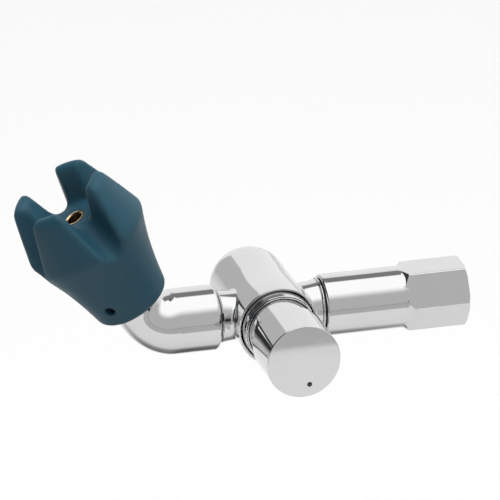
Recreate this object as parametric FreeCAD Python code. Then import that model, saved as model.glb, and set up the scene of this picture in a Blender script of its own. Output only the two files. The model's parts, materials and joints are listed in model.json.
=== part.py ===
import FreeCAD, Part
import math
import os

# Drinking fountain bubbler: a push-button, self-closing valve with a hexagon inlet on the right
# and a bent spout with a rubber mouthguard on the left.
# Millimetres, +Z up. The origin is the centre of the inlet mouth. The inlet opens towards +X,
# the push button faces -Y, and the spout leaves towards -X and rises to the mouthguard.

# Inlet pipe with its hexagon
INLET_REACH = 86.0            # inlet mouth to the valve axis
PIPE_RADIUS = 13.25
PIPE_END_ROUND = 1.0
HEX_ACROSS_FLATS = 26.0
HEX_LENGTH = 28.6             # from the foot of the blend to the mouth
HEX_BLEND_LENGTH = 4.6        # round pipe to full hexagon
HEX_CORNER_ROUND = 0.8
HEX_END_CHAMFER = 0.8
HEX_CHAMFER_SLOPE = 1.7       # the end chamfer's width for each millimetre of its length
HEX_CORE_TUCK = 0.15          # round core to the hexagon's flats
THREAD_BORE_RADIUS = 9.315    # crests of a G1/2 female thread
THREAD_BORE_DEPTH = 16.0
THREAD_LEAD_IN = 0.4
PIPE_WATERWAY_RADIUS = 7.0
SOCKET_FOOT_TAPER = 1.5       # length of the cone from the spigot's socket to the waterway

# Strainer at the foot of the thread
STRAINER_SEAT_RADIUS = 9.0
STRAINER_WASHER_THICKNESS = 2.0
STRAINER_WASHER_BORE = 6.6
STRAINER_SCREEN_THICKNESS = 0.8
STRAINER_HOLE_RADIUS = 1.5
STRAINER_HOLE_PITCH = 4.2     # centre of the screen to the ring of holes
STRAINER_HOLES = 6

# Valve body
BARREL_FRONT_RADIUS = 17.55
BARREL_STEP = 0.65            # how much less the barrel's radius is behind the necks
BARREL_FRONT = 18.0           # valve axis crossing to the mouth lip
BARREL_STEP_HALF = 14.0       # half the length over which the barrel narrows
BARREL_DOME_START = 29.0
BARREL_DOME_DEPTH = 15.4
LIP_ROUND = 0.4
NECK_RADIUS = 11.4
NECK_WAIST_RADIUS = 10.7
NECK_ROOT_RADIUS = 10.8
NECK_ROOT_FILLET = 1.6
NECK_ROOT_DEPTH = 2.0         # how far the necks are drawn inside the chamber's wall
NECK_WAIST_SHIFT = 3.0        # waist to the middle of the neck, towards the barrel
NECK_END_CHAMFER = 0.5
SPIGOT_RADIUS = 9.4
SPIGOT_LENGTH = 14.0
SPIGOT_CHAMFER = 0.6
WATERWAY_RADIUS = 5.0
CHAMBER_RADIUS = 11.5
CHAMBER_REAR = 34.0
CHAMBER_REAR_TAPER = 5.0
BODY_SHOULDER = 5.6           # seat of the cartridge flange, in front of the crossing
BODY_THREAD_STEP = 0.9        # from the mouth's bore in to the thread's
LIP_WIDTH = 0.95              # barrel wall at the mouth
MOUTH_DEPTH = 2.0
WEB_THICKNESS = 2.4
WEB_FLAT_HALF = 8.3           # half width of the flat middle of the web
WEB_REACH = 6.4               # how far each end of the web swings forward or back
WEB_END_HALF = 1.8            # half height of the web's ends
WEB_BEND_SHIFT = 1.1          # thickens the web at its bends
WEB_ROOT = 0.6                # how far the web runs into the chamber's wall

# Joint of the inlet pipe
INLET_NECK_END = 21.9
INLET_SEAL_THICKNESS = 1.4
INLET_SEAL_RADIUS = 11.7
INLET_SEAL_CHAMFER = 0.42

# Joint of the spout
OUTLET_NECK_END = 22.4
THRUST_WASHER_THICKNESS = 1.0
THRUST_WASHER_RADIUS = 10.9
SPOUT_SOCKET_CLEARANCE = 0.05
SEAL_SECTION = 1.7            # thickness of the spigot O-rings
SEAL_GROOVE_WIDTH = 2.3
SEAL_FIRST = 3.6              # neck shoulder to the first groove
SEAL_PITCH = 3.4
SWING_GROOVE_WIDTH = 3.2
SWING_GROOVE_DEPTH = 1.5
SWING_GROOVE_CENTRE = 10.9    # neck shoulder to the groove
SWING_LIMIT = 45.0            # degrees the spout turns each way
RETAINING_SCREW_RADIUS = 2.0
RETAINING_POINT_RADIUS = 1.25
RETAINING_POINT_GAP = 0.2     # point to the groove's floor
RETAINING_SHOULDER_GAP = 0.3  # shoulder to the spigot
SWING_END_GAP = 0.1           # point to each end of the groove at the swing's limit
SCREW_SINK = 0.4              # end of a set screw to the face above it
SCREW_SOCKET_FLATS = 2.0
SCREW_SOCKET_DEPTH = 1.6
REGULATOR_RADIUS = 6.4
REGULATOR_LENGTH = 4.0
REGULATOR_HOLE_RADIUS = 0.9
REGULATOR_HOLE_PITCH = 2.8    # centre of the disc to the ring of holes
REGULATOR_HOLES = 6
REGULATOR_RIM = 1.2
REGULATOR_FLOOR = 1.6
REGULATOR_SINK = 0.3          # regulator to the end of the spigot
REGULATOR_RING_BORE = 3.0
REGULATOR_RING_THICKNESS = 1.4

# Spout elbow
ELBOW_RADIUS = 14.0
ELBOW_END_ROUND = 1.5
ELBOW_CORNER = 52.1           # valve axis to the corner where the two spout axes meet
ELBOW_BEND_RADIUS = 18.4
ELBOW_TIP_RADIUS = 10.4
ELBOW_WATERWAY_RADIUS = 5.2
ELBOW_TIP_LENGTH = 14.4       # end of the bend to the end of the elbow
ELBOW_TIP_CHAMFER = 0.6
BEND_SECTIONS = 6             # circles that shape the narrowing bend, after the first
HEAD_RISE = 58.1              # slope of the mouthguard above level, degrees

# Mouthguard
GUARD_START = 13.3            # corner to the underside of the mouthguard
GUARD_BASE_RADIUS = 16.5
GUARD_BASE_ROUND = 3.0
GUARD_FLARE_SAG = 1.15        # how far the flare curves in from a straight cone
GUARD_SHOULDER_RADIUS = 26.8
GUARD_SHOULDER_HEIGHT = 38.7
GUARD_SHOULDER_ROUND = 1.5
GUARD_HEIGHT = 63.8
GUARD_TIP_RADIUS = 18.6       # head axis to the middle of each tip
GUARD_TIP_ROUND = 3.0
GUARD_NOZZLE_HEIGHT = 48.4
GUARD_POCKET_RADIUS = 11.7    # foot of the prongs' inner faces
GUARD_PRONGS = 4
GUARD_TURN = -78.8            # direction of the first slot about the head axis
GUARD_SLOT_ROUND = 5.85       # radius of the slot's round floor
GUARD_SLOT_FLARE = 17.7       # slope of each slot wall, degrees
GUARD_SLOT_HEAD_RADIUS = 11.0
GUARD_SLOT_FOOT = 30.0        # height of the slot floor at the shoulder radius
GUARD_SCREW_HEIGHT = 9.8
GUARD_SCREW_TURN = -126.0
GUARD_SCREW_HOLE_RADIUS = 2.15

# Metal core of the mouthguard
CORE_RADIUS = 12.4
CORE_WALL = 1.9
CORE_START = 1.5
CORE_END_THICKNESS = 2.0
NOZZLE_RADIUS = 4.5
NOZZLE_BORE = 3.5
NOZZLE_FLANGE_RADIUS = 8.5
NOZZLE_FLANGE_THICKNESS = 2.5
NOZZLE_TAIL_RADIUS = 6.4
NOZZLE_TAIL_LENGTH = 10.0
NOZZLE_PROUD = 0.3
NOZZLE_MOUTH_CHAMFER = 0.4
NOZZLE_SEAL_SECTION = 1.2
NOZZLE_SEAL_GROOVE = 1.56     # width of the groove for the tail's O-ring
NOZZLE_SEAL_RISE = 2.0        # foot of the tail to the groove's middle
GUARD_SCREW_RADIUS = 2.0
GUARD_SCREW_BITE = 0.4        # how far the screw's end lies inside the elbow's dimple
GUARD_SCREW_SINK = 0.1        # screw to the outside of the core
GUARD_DIMPLE_DEPTH = 0.5

# Push button
CAP_WALL = 1.95
CAP_FRONT = 57.2              # valve axis crossing to the button face
CAP_LENGTH = 23.0
CAP_FACE_THICKNESS = 2.8
CAP_EDGE_ROUND = 0.5
SKIRT_WALL = 1.0
SKIRT_REAR = 18.9
CARRIER_THICKNESS = 4.0
CARRIER_HUB_RADIUS = 5.4
CARRIER_HUB_LENGTH = 4.4
STROKE = 10.0
STROKE_SCREW_RADIUS = 2.0
STROKE_SCREW_EDGE = 0.3       # between the stroke screw and the skirt
STROKE_SCREW_TURN = 13.3      # from straight down towards the inlet, degrees
STROKE_HOLE_RADIUS = 1.1
STROKE_MARGIN = 0.3
STEM_RADIUS = 2.5
STEM_SHOULDER_RADIUS = 3.4
STEM_SHOULDER_LENGTH = 0.6
STEM_SINK = 0.2               # front end of the stem to the carrier's front
STEM_END = 1.0                # stem past its rear nut
STEM_END_CHAMFER = 0.5
STEM_NUT_FLATS = 8.0
STEM_NUT_LENGTH = 3.2
SPRING_MEAN_RADIUS = 7.0
SPRING_WIRE = 1.1
SPRING_TURNS = 4
SPRING_END_TURNS = 1
SPRING_END_GAP = 0.5          # between an end turn and the next
SPRING_WIRE_SIDES = 8         # flats that stand for the round wire

# Cartridge
BEZEL_FRONT = 22.1
BEZEL_FRONT_WALL = 0.6
BEZEL_GAP = 0.2               # bezel rim to the mouth's bore
BEZEL_WALL = 1.5              # skirt to the body thread
BEZEL_CONE_START = 17.7
BEZEL_SEAT_GAP = 0.2          # bezel rim to the foot of the mouth
FLANGE_THICKNESS = 2.8
FLANGE_SEAL_SECTION = 1.5
FLANGE_GROOVE_WIDTH = 1.8
HOUSING_GAP = 0.6             # housing to the inside of the skirt
HOUSING_FRONT = 24.0
HOUSING_CHAMFER = 0.6
HOUSING_BOSS_RADIUS = 5.6
HOUSING_BOSS_LENGTH = 3.0
DASHPOT_RADIUS = 9.0
DASHPOT_FRONT = 21.5
GUIDE_BUSH_RADIUS = 4.0
GUIDE_BUSH_LENGTH = 3.5
GLAND_RING_THICKNESS = 0.7
PISTON_THICKNESS = 4.0
PISTON_SIDE_GAP = 0.2
PISTON_END_GAP = 0.9          # piston at rest to the front of its cylinder
PISTON_CHAMFER = 0.5
LIP_SEAL_THICKNESS = 2.0
LIP_SEAL_RIM = 0.9            # thickness of the outer lip
LIP_SEAL_CHANNEL_WIDTH = 2.1
LIP_SEAL_CHANNEL_DEPTH = 0.9
LIP_SEAL_TAPER = 0.3
CIRCLIP_THICKNESS = 0.8
CIRCLIP_RADIUS = 4.2
CIRCLIP_GROOVE_DEPTH = 0.5
CIRCLIP_OPENING = 1.6

# Valve seat and its washer
SEAT_BORE = 4.5
SEAT_BODY_RADIUS = 6.0
SEAT_FLANGE_RADIUS = 6.8
SEAT_FLANGE_THICKNESS = 1.0
SEAT_CHAMFER = 0.4
VALVE_WASHER_RADIUS = 6.4
VALVE_WASHER_THICKNESS = 3.0
HOLDER_RADIUS = 7.2
HOLDER_THICKNESS = 3.0
HOLDER_LIP = 1.8
HOLDER_CHAMFER = 0.6
WASHER_NUT_FLATS = 8.0
WASHER_NUT_LENGTH = 3.2
NUT_CHAMFER_SLOPE = 0.6       # the nuts' corner chamfer, rise for each millimetre of width

# Clearances
RUNNING = 0.06                # moving surfaces, on the radius
SEATED = 0.05                 # assembled surfaces, on the radius
THREADED = 0.1                # plain stand-ins for mating threads, on the radius
PRESSED = 0.02                # surfaces that grip each other, on the radius
LIFT = 0.1                    # valve washer to its seat
SPIGOT_END_ROOM = 0.5         # between a spigot's end and the foot of its socket

# Radii of the barrel's mouth, then of what sits in it, from the outside in
BARREL_REAR_RADIUS = BARREL_FRONT_RADIUS - BARREL_STEP
MOUTH_RADIUS = BARREL_FRONT_RADIUS - LIP_WIDTH
BODY_THREAD_RADIUS = MOUTH_RADIUS - BODY_THREAD_STEP
BEZEL_RIM_RADIUS = MOUTH_RADIUS - BEZEL_GAP
BEZEL_THREAD_RADIUS = BODY_THREAD_RADIUS - THREADED
FLANGE_RADIUS = BODY_THREAD_RADIUS - 2 * THREADED
FLANGE_SEAL_RADIUS = (FLANGE_RADIUS + CHAMBER_RADIUS) / 2
SKIRT_RADIUS = BODY_THREAD_RADIUS - BEZEL_WALL
SKIRT_INNER = SKIRT_RADIUS - SKIRT_WALL
BEZEL_FRONT_RADIUS = SKIRT_RADIUS + BEZEL_FRONT_WALL
CAP_RADIUS = SKIRT_RADIUS + CAP_WALL
HOUSING_RADIUS = SKIRT_INNER - HOUSING_GAP

FULL_TURN = 360.0             # degrees
CUT_PAST = 1.0                # how far a cutting tool runs past the surface that it opens
FIND_ROOM = 0.3               # room allowed when an edge is picked by its place
SHORT_EDGE = 3.0              # edges shorter than this aren't part of a neck's root

V = FreeCAD.Vector
X_AXIS = V(1, 0, 0)
Y_AXIS = V(0, 1, 0)
Z_AXIS = V(0, 0, 1)
CROSSING = V(-INLET_REACH, 0, 0)


def frame(origin, x_dir, y_dir, z_dir):
    """Placement that lays local X, Y and Z along the given directions."""
    return FreeCAD.Placement(origin, FreeCAD.Rotation(x_dir, y_dir, z_dir, "ZXY"))


RISE = math.radians(HEAD_RISE)
HEAD_AXIS = V(-math.cos(RISE), 0, math.sin(RISE))
HEAD_SIDE = V(math.sin(RISE), 0, math.cos(RISE))
CORNER = CROSSING + V(-ELBOW_CORNER, 0, 0)

INLET = frame(CROSSING, Y_AXIS, Z_AXIS, X_AXIS)
OUTLET = frame(CROSSING, -Y_AXIS, Z_AXIS, -X_AXIS)
VALVE = frame(CROSSING, X_AXIS, Z_AXIS, -Y_AXIS)
HEAD = frame(CORNER, HEAD_SIDE, Y_AXIS, HEAD_AXIS)


def placed(shape, place):
    """Copy of a shape that was built about local +Z, moved into its place."""
    copy = shape.copy()
    copy.Placement = place.multiply(copy.Placement)
    return copy


def turned(outline):
    """Solid turned about +Z. The outline lists (radius, height) corners, or ready edges."""
    if isinstance(outline[0], tuple):
        corners = [V(0, r, z) for r, z in outline]
        edges = [Part.makeLine(a, b) for a, b in zip(corners, corners[1:] + corners[:1])]
    else:
        edges = outline
    return Part.Face(Part.Wire(edges)).revolve(V(0, 0, 0), Z_AXIS, FULL_TURN)


def disc(radius, low, high):
    """Solid round bar between two heights."""
    return Part.makeCylinder(radius, high - low, V(0, 0, low))


def ring(inner, outer, low, high):
    """Plain ring between two heights."""
    return turned([(inner, low), (outer, low), (outer, high), (inner, high)])


def o_ring(mean_radius, section, height):
    """Seal centred on a height, with eight flats for its round section."""
    half = section / 2
    flat = half * math.tan(math.radians(22.5))
    corners = [(half, flat), (flat, half), (-flat, half), (-half, flat),
               (-half, -flat), (-flat, -half), (flat, -half), (half, -flat)]
    return turned([(mean_radius + r, height + z) for r, z in corners])


def hexagon(flats, low, high):
    """Hexagon bar with two corners on local X."""
    radius = flats / math.sqrt(3)
    turns = [math.radians(60 * i) for i in range(7)]
    corners = [V(radius * math.cos(t), radius * math.sin(t), low) for t in turns]
    return Part.Face(Part.makePolygon(corners)).extrude(V(0, 0, high - low))


def rims(shape, radius, height):
    """Round edges of one radius at one height about local Z."""
    found = []
    for edge in shape.Edges:
        box = edge.BoundBox
        level = box.ZLength < 0.001 and abs(box.ZMin - height) < 0.001
        if level and abs(box.XMax - radius) < 0.001 and abs(box.XMin + radius) < 0.001:
            found.append(edge)
    return found


def at_turn(shape, degrees):
    """Copy of a shape turned about local Z."""
    copy = shape.copy()
    copy.rotate(V(0, 0, 0), Z_AXIS, degrees)
    return copy


def seated_groove(outer, depth, width, centre):
    """Ring that cuts a groove of one depth into a bar."""
    return ring(outer - depth, outer + CUT_PAST, centre - width / 2, centre + width / 2)


# Inlet pipe, its seals and strainer

PIPE_START = INLET_NECK_END + INLET_SEAL_THICKNESS
THREAD_FOOT = INLET_REACH - THREAD_BORE_DEPTH
STRAINER_FOOT = THREAD_FOOT - STRAINER_WASHER_THICKNESS - STRAINER_SCREEN_THICKNESS
INLET_SPIGOT_END = INLET_NECK_END + SPIGOT_LENGTH


def inlet_pipe():
    """Round pipe that swells into a hexagon and holds the female thread."""
    blend_foot = INLET_REACH - HEX_LENGTH
    blend_top = blend_foot + HEX_BLEND_LENGTH
    corner = HEX_ACROSS_FLATS / math.sqrt(3)
    chamfer = HEX_END_CHAMFER * HEX_CHAMFER_SLOPE
    middle = V(0, (PIPE_RADIUS + corner) / 2, (blend_foot + blend_top) / 2)
    sag = (corner - PIPE_RADIUS) / 6
    lower = Part.Arc(V(0, PIPE_RADIUS, blend_foot),
                     V(0, (PIPE_RADIUS + middle.y) / 2 - sag, (blend_foot + middle.z) / 2), middle)
    upper = Part.Arc(middle, V(0, (corner + middle.y) / 2 + sag, (blend_top + middle.z) / 2),
                     V(0, corner, blend_top))
    swell = [
        Part.makeLine(V(0, 0, blend_foot), V(0, PIPE_RADIUS, blend_foot)),
        lower.toShape(),
        upper.toShape(),
        Part.makeLine(V(0, corner, blend_top), V(0, corner, INLET_REACH - HEX_END_CHAMFER)),
        Part.makeLine(V(0, corner, INLET_REACH - HEX_END_CHAMFER),
                      V(0, corner - chamfer, INLET_REACH)),
        Part.makeLine(V(0, corner - chamfer, INLET_REACH), V(0, 0, INLET_REACH)),
        Part.makeLine(V(0, 0, INLET_REACH), V(0, 0, blend_foot)),
    ]
    prism = hexagon(HEX_ACROSS_FLATS, blend_foot, INLET_REACH)
    uprights = [e for e in prism.Edges if e.BoundBox.ZLength > HEX_LENGTH / 2]
    prism = prism.makeFillet(HEX_CORNER_ROUND, uprights)
    head = prism.common(turned(swell))
    tuck = HEX_ACROSS_FLATS / 2 - HEX_CORE_TUCK
    barrel = turned([(0, PIPE_START), (PIPE_RADIUS, PIPE_START), (PIPE_RADIUS, blend_foot),
                     (tuck, blend_top), (0, blend_top)])
    barrel = barrel.makeFillet(PIPE_END_ROUND, rims(barrel, PIPE_RADIUS, PIPE_START))
    pipe = barrel.fuse(head)
    socket_foot = INLET_SPIGOT_END + SPIGOT_END_ROOM
    bores = turned([(0, PIPE_START - CUT_PAST), (SPIGOT_RADIUS + SEATED, PIPE_START - CUT_PAST),
                    (SPIGOT_RADIUS + SEATED, socket_foot),
                    (PIPE_WATERWAY_RADIUS, socket_foot + SOCKET_FOOT_TAPER),
                    (PIPE_WATERWAY_RADIUS, STRAINER_FOOT),
                    (STRAINER_SEAT_RADIUS, STRAINER_FOOT),
                    (STRAINER_SEAT_RADIUS, THREAD_FOOT),
                    (THREAD_BORE_RADIUS, THREAD_FOOT),
                    (THREAD_BORE_RADIUS, INLET_REACH - THREAD_LEAD_IN),
                    (THREAD_BORE_RADIUS + THREAD_LEAD_IN, INLET_REACH),
                    (THREAD_BORE_RADIUS + THREAD_LEAD_IN, INLET_REACH + CUT_PAST),
                    (0, INLET_REACH + CUT_PAST)])
    return placed(pipe.cut(bores).removeSplitter(), INLET)


def inlet_seal_ring():
    """Black ring squeezed between the valve neck and the pipe."""
    soft = INLET_SEAL_CHAMFER
    return placed(turned([(SPIGOT_RADIUS + SEATED, INLET_NECK_END),
                          (INLET_SEAL_RADIUS - soft, INLET_NECK_END),
                          (INLET_SEAL_RADIUS, INLET_NECK_END + soft),
                          (INLET_SEAL_RADIUS, PIPE_START - soft),
                          (INLET_SEAL_RADIUS - soft, PIPE_START),
                          (SPIGOT_RADIUS + SEATED, PIPE_START)]), INLET)


def spigot_seals(neck_end, place):
    """The two O-rings in the grooves of one spigot."""
    mean = SPIGOT_RADIUS - SEAL_SECTION / 2
    first = neck_end + SEAL_FIRST
    return [placed(o_ring(mean, SEAL_SECTION, first + i * SEAL_PITCH), place) for i in range(2)]


def strainer_washer():
    """Rubber washer under the strainer screen."""
    return placed(ring(STRAINER_WASHER_BORE, STRAINER_SEAT_RADIUS - SEATED, STRAINER_FOOT,
                       STRAINER_FOOT + STRAINER_WASHER_THICKNESS), INLET)


def strainer_screen():
    """Steel disc with a ring of holes, seen at the foot of the inlet thread."""
    low = STRAINER_FOOT + STRAINER_WASHER_THICKNESS
    high = low + STRAINER_SCREEN_THICKNESS
    screen = disc(STRAINER_SEAT_RADIUS - SEATED, low, high)
    drill = disc(STRAINER_HOLE_RADIUS, low - CUT_PAST, high + CUT_PAST)
    holes = [drill.copy()]
    drill.translate(V(STRAINER_HOLE_PITCH, 0, 0))
    holes += [at_turn(drill, FULL_TURN * i / STRAINER_HOLES) for i in range(STRAINER_HOLES)]
    return placed(screen.cut(holes), INLET)


# Valve body with its web and seat

RETAINING_POINT_END = SPIGOT_RADIUS - SWING_GROOVE_DEPTH + RETAINING_POINT_GAP


def neck_blank(neck_end):
    """Waisted neck and its spigot, from inside the barrel outwards."""
    root = CHAMBER_RADIUS - NECK_ROOT_DEPTH
    waist = V(0, NECK_WAIST_RADIUS, (BARREL_REAR_RADIUS + neck_end) / 2 - NECK_WAIST_SHIFT)
    flare_end = V(0, NECK_RADIUS, neck_end - NECK_END_CHAMFER)
    flare = Part.Arc(V(0, NECK_ROOT_RADIUS, root), waist, flare_end).toShape()
    corners = [flare_end, V(0, NECK_RADIUS - NECK_END_CHAMFER, neck_end),
               V(0, SPIGOT_RADIUS, neck_end),
               V(0, SPIGOT_RADIUS, neck_end + SPIGOT_LENGTH - SPIGOT_CHAMFER),
               V(0, SPIGOT_RADIUS - SPIGOT_CHAMFER, neck_end + SPIGOT_LENGTH),
               V(0, 0, neck_end + SPIGOT_LENGTH), V(0, 0, root), V(0, NECK_ROOT_RADIUS, root)]
    lines = [Part.makeLine(a, b) for a, b in zip(corners, corners[1:])]
    return turned([flare] + lines)


def barrel_blank():
    """Barrel that narrows a little past the necks and ends in a flattened dome."""
    side = Part.BSplineCurve()
    half = BARREL_STEP_HALF
    middle = (BARREL_FRONT_RADIUS + BARREL_REAR_RADIUS) / 2
    side.interpolate(Points=[V(0, BARREL_FRONT_RADIUS, half), V(0, middle, 0),
                             V(0, BARREL_REAR_RADIUS, -half)],
                     InitialTangent=V(0, 0, -half), FinalTangent=V(0, 0, -half))
    turns = [math.radians(10 * i) for i in range(1, 9)]
    start = V(0, BARREL_REAR_RADIUS, -BARREL_DOME_START)
    end = V(0, 0, -BARREL_DOME_START - BARREL_DOME_DEPTH)
    between = [V(0, BARREL_REAR_RADIUS * math.cos(t),
                 -BARREL_DOME_START - BARREL_DOME_DEPTH * math.sin(t)) for t in turns]
    dome = Part.BSplineCurve()
    dome.interpolate(Points=[start] + between + [end],
                     InitialTangent=V(0, 0, -1), FinalTangent=V(0, -1, 0))
    edges = [
        Part.makeLine(V(0, 0, BARREL_FRONT), V(0, BARREL_FRONT_RADIUS, BARREL_FRONT)),
        Part.makeLine(V(0, BARREL_FRONT_RADIUS, BARREL_FRONT), V(0, BARREL_FRONT_RADIUS, half)),
        side.toShape(),
        Part.makeLine(V(0, BARREL_REAR_RADIUS, -half), start),
        dome.toShape(),
        Part.makeLine(end, V(0, 0, BARREL_FRONT)),
    ]
    return turned(edges)


def neck_roots(shape):
    """Edges where the necks meet the barrel."""
    found = []
    for edge in shape.Edges:
        middle = edge.valueAt((edge.FirstParameter + edge.LastParameter) / 2)
        from_neck_axis = math.hypot(middle.y, middle.z)
        from_valve_axis = math.hypot(middle.x, middle.y)
        near_neck = NECK_WAIST_RADIUS - FIND_ROOM < from_neck_axis < NECK_RADIUS
        behind = BARREL_REAR_RADIUS - FIND_ROOM
        near_barrel = behind < from_valve_axis < BARREL_FRONT_RADIUS + FIND_ROOM
        if near_neck and near_barrel and edge.Length > SHORT_EDGE:
            found.append(edge)
    return found


def chamber():
    """Room for the cartridge in front and for the moving washer behind."""
    floor = -CHAMBER_REAR
    return turned([(CHAMBER_RADIUS, floor + CHAMBER_REAR_TAPER),
                   (CHAMBER_RADIUS - CHAMBER_REAR_TAPER, floor), (0, floor),
                   (0, BARREL_FRONT + CUT_PAST), (MOUTH_RADIUS, BARREL_FRONT + CUT_PAST),
                   (MOUTH_RADIUS, BARREL_FRONT - MOUTH_DEPTH),
                   (BODY_THREAD_RADIUS, BARREL_FRONT - MOUTH_DEPTH),
                   (BODY_THREAD_RADIUS, BODY_SHOULDER), (CHAMBER_RADIUS, BODY_SHOULDER)])


def web():
    """Cast wall between inlet and outlet, flat round the seat and swung past each port."""
    reach = CHAMBER_RADIUS + CUT_PAST
    half = WEB_THICKNESS / 2
    bend_out = WEB_FLAT_HALF + WEB_BEND_SHIFT
    corners = [(-reach, -WEB_REACH + WEB_END_HALF), (-bend_out, half), (WEB_FLAT_HALF, half),
               (reach, WEB_REACH + WEB_END_HALF), (reach, WEB_REACH - WEB_END_HALF),
               (bend_out, -half), (-WEB_FLAT_HALF, -half), (-reach, -WEB_REACH - WEB_END_HALF)]
    points = [V(x, -CHAMBER_RADIUS * 2, z) for x, z in corners + corners[:1]]
    wall = Part.Face(Part.makePolygon(points)).extrude(V(0, CHAMBER_RADIUS * 4, 0))
    room = disc(CHAMBER_RADIUS + WEB_ROOT, -CHAMBER_REAR + CHAMBER_REAR_TAPER, BODY_SHOULDER)
    hole = disc(SEAT_BODY_RADIUS, -WEB_THICKNESS, WEB_THICKNESS)
    return wall.common(room).cut(hole)


def swing_groove():
    """Part-round groove that takes the point of the spout's retaining screw."""
    point_half = (RETAINING_POINT_RADIUS + SWING_END_GAP) / RETAINING_POINT_END
    sweep = 2 * (SWING_LIMIT + math.degrees(math.asin(point_half)))
    low = OUTLET_NECK_END + SWING_GROOVE_CENTRE - SWING_GROOVE_WIDTH / 2
    high = low + SWING_GROOVE_WIDTH
    inner = SPIGOT_RADIUS - SWING_GROOVE_DEPTH
    outer = SPIGOT_RADIUS + CUT_PAST
    section = Part.makePolygon([V(inner, 0, low), V(outer, 0, low), V(outer, 0, high),
                                V(inner, 0, high), V(inner, 0, low)])
    groove = Part.Face(section).revolve(V(0, 0, 0), Z_AXIS, sweep)
    return at_turn(groove, -90 - sweep / 2)


def valve_body():
    """Cast body: barrel, two necks with spigots, chamber, web and ports."""
    to_valve = VALVE.inverse()
    right = placed(neck_blank(INLET_NECK_END), to_valve.multiply(INLET))
    left = placed(neck_blank(OUTLET_NECK_END), to_valve.multiply(OUTLET))
    body = barrel_blank().fuse([right, left]).removeSplitter()
    body = body.makeFillet(NECK_ROOT_FILLET, neck_roots(body))
    body = body.cut(chamber())
    lip = rims(body, BARREL_FRONT_RADIUS, BARREL_FRONT) + rims(body, MOUTH_RADIUS, BARREL_FRONT)
    body = body.makeFillet(LIP_ROUND, lip)
    spigot_end = OUTLET_NECK_END + SPIGOT_LENGTH
    port = disc(WATERWAY_RADIUS, CHAMBER_RADIUS - NECK_ROOT_DEPTH, spigot_end + CUT_PAST)
    regulator_seat = disc(REGULATOR_RADIUS + SEATED, spigot_end - REGULATOR_LENGTH,
                          spigot_end + CUT_PAST)
    cuts = [placed(port, to_valve.multiply(INLET)),
            placed(port.fuse([regulator_seat, swing_groove()]), to_valve.multiply(OUTLET))]
    for neck_end, place in ((INLET_NECK_END, INLET), (OUTLET_NECK_END, OUTLET)):
        for i in range(2):
            centre = neck_end + SEAL_FIRST + i * SEAL_PITCH
            groove = seated_groove(SPIGOT_RADIUS, SEAL_SECTION, SEAL_GROOVE_WIDTH, centre)
            cuts.append(placed(groove, to_valve.multiply(place)))
    body = body.cut(cuts).fuse(web())
    return placed(body, VALVE)


def valve_seat():
    """Steel seat pressed into the web, with its sealing flange behind."""
    half = WEB_THICKNESS / 2
    return placed(turned([(SEAT_BORE, half), (SEAT_BODY_RADIUS, half), (SEAT_BODY_RADIUS, -half),
                          (SEAT_FLANGE_RADIUS, -half),
                          (SEAT_FLANGE_RADIUS, -half - SEAT_FLANGE_THICKNESS + SEAT_CHAMFER),
                          (SEAT_FLANGE_RADIUS - SEAT_CHAMFER, -half - SEAT_FLANGE_THICKNESS),
                          (SEAT_BORE, -half - SEAT_FLANGE_THICKNESS)]), VALVE)


# Cartridge

BOSS_FRONT = HOUSING_FRONT + HOUSING_BOSS_LENGTH
FLANGE_FRONT = BODY_SHOULDER + FLANGE_THICKNESS


def bezel_nut():
    """Ring nut that holds the cartridge in and guides the button skirt."""
    bore = SKIRT_RADIUS + RUNNING
    seat = BARREL_FRONT - MOUTH_DEPTH + BEZEL_SEAT_GAP
    return placed(turned([(bore, FLANGE_FRONT), (BEZEL_THREAD_RADIUS, FLANGE_FRONT),
                          (BEZEL_THREAD_RADIUS, seat), (BEZEL_RIM_RADIUS, seat),
                          (BEZEL_RIM_RADIUS, BEZEL_CONE_START), (BEZEL_FRONT_RADIUS, BEZEL_FRONT),
                          (bore, BEZEL_FRONT)]), VALVE)


def cartridge_housing():
    """Flanged housing with the delay cylinder inside and a boss for the return spring."""
    outline = [(DASHPOT_RADIUS, BODY_SHOULDER), (FLANGE_RADIUS, BODY_SHOULDER),
               (FLANGE_RADIUS, FLANGE_FRONT), (HOUSING_RADIUS, FLANGE_FRONT),
               (HOUSING_RADIUS, HOUSING_FRONT - HOUSING_CHAMFER),
               (HOUSING_RADIUS - HOUSING_CHAMFER, HOUSING_FRONT),
               (HOUSING_BOSS_RADIUS, HOUSING_FRONT), (HOUSING_BOSS_RADIUS, BOSS_FRONT),
               (GUIDE_BUSH_RADIUS, BOSS_FRONT), (GUIDE_BUSH_RADIUS, DASHPOT_FRONT),
               (DASHPOT_RADIUS, DASHPOT_FRONT)]
    groove = ring(FLANGE_SEAL_RADIUS - FLANGE_GROOVE_WIDTH / 2,
                  FLANGE_SEAL_RADIUS + FLANGE_GROOVE_WIDTH / 2,
                  BODY_SHOULDER - CUT_PAST, BODY_SHOULDER + FLANGE_SEAL_SECTION)
    return placed(turned(outline).cut(groove), VALVE)


def housing_seal():
    """O-ring under the cartridge flange."""
    return placed(o_ring(FLANGE_SEAL_RADIUS, FLANGE_SEAL_SECTION,
                         BODY_SHOULDER + FLANGE_SEAL_SECTION / 2), VALVE)


def stem_guide_bush():
    """Plastic bush that guides the stem through the housing."""
    return placed(ring(STEM_RADIUS + RUNNING, GUIDE_BUSH_RADIUS - SEATED, DASHPOT_FRONT,
                       DASHPOT_FRONT + GUIDE_BUSH_LENGTH), VALVE)


def stem_seal():
    """O-ring round the stem in front of its bush."""
    low = DASHPOT_FRONT + GUIDE_BUSH_LENGTH
    high = BOSS_FRONT - GLAND_RING_THICKNESS
    inner = STEM_RADIUS + RUNNING
    section = min(high - low, GUIDE_BUSH_RADIUS - SEATED - inner)
    return placed(o_ring(inner + section / 2, section, (low + high) / 2), VALVE)


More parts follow.
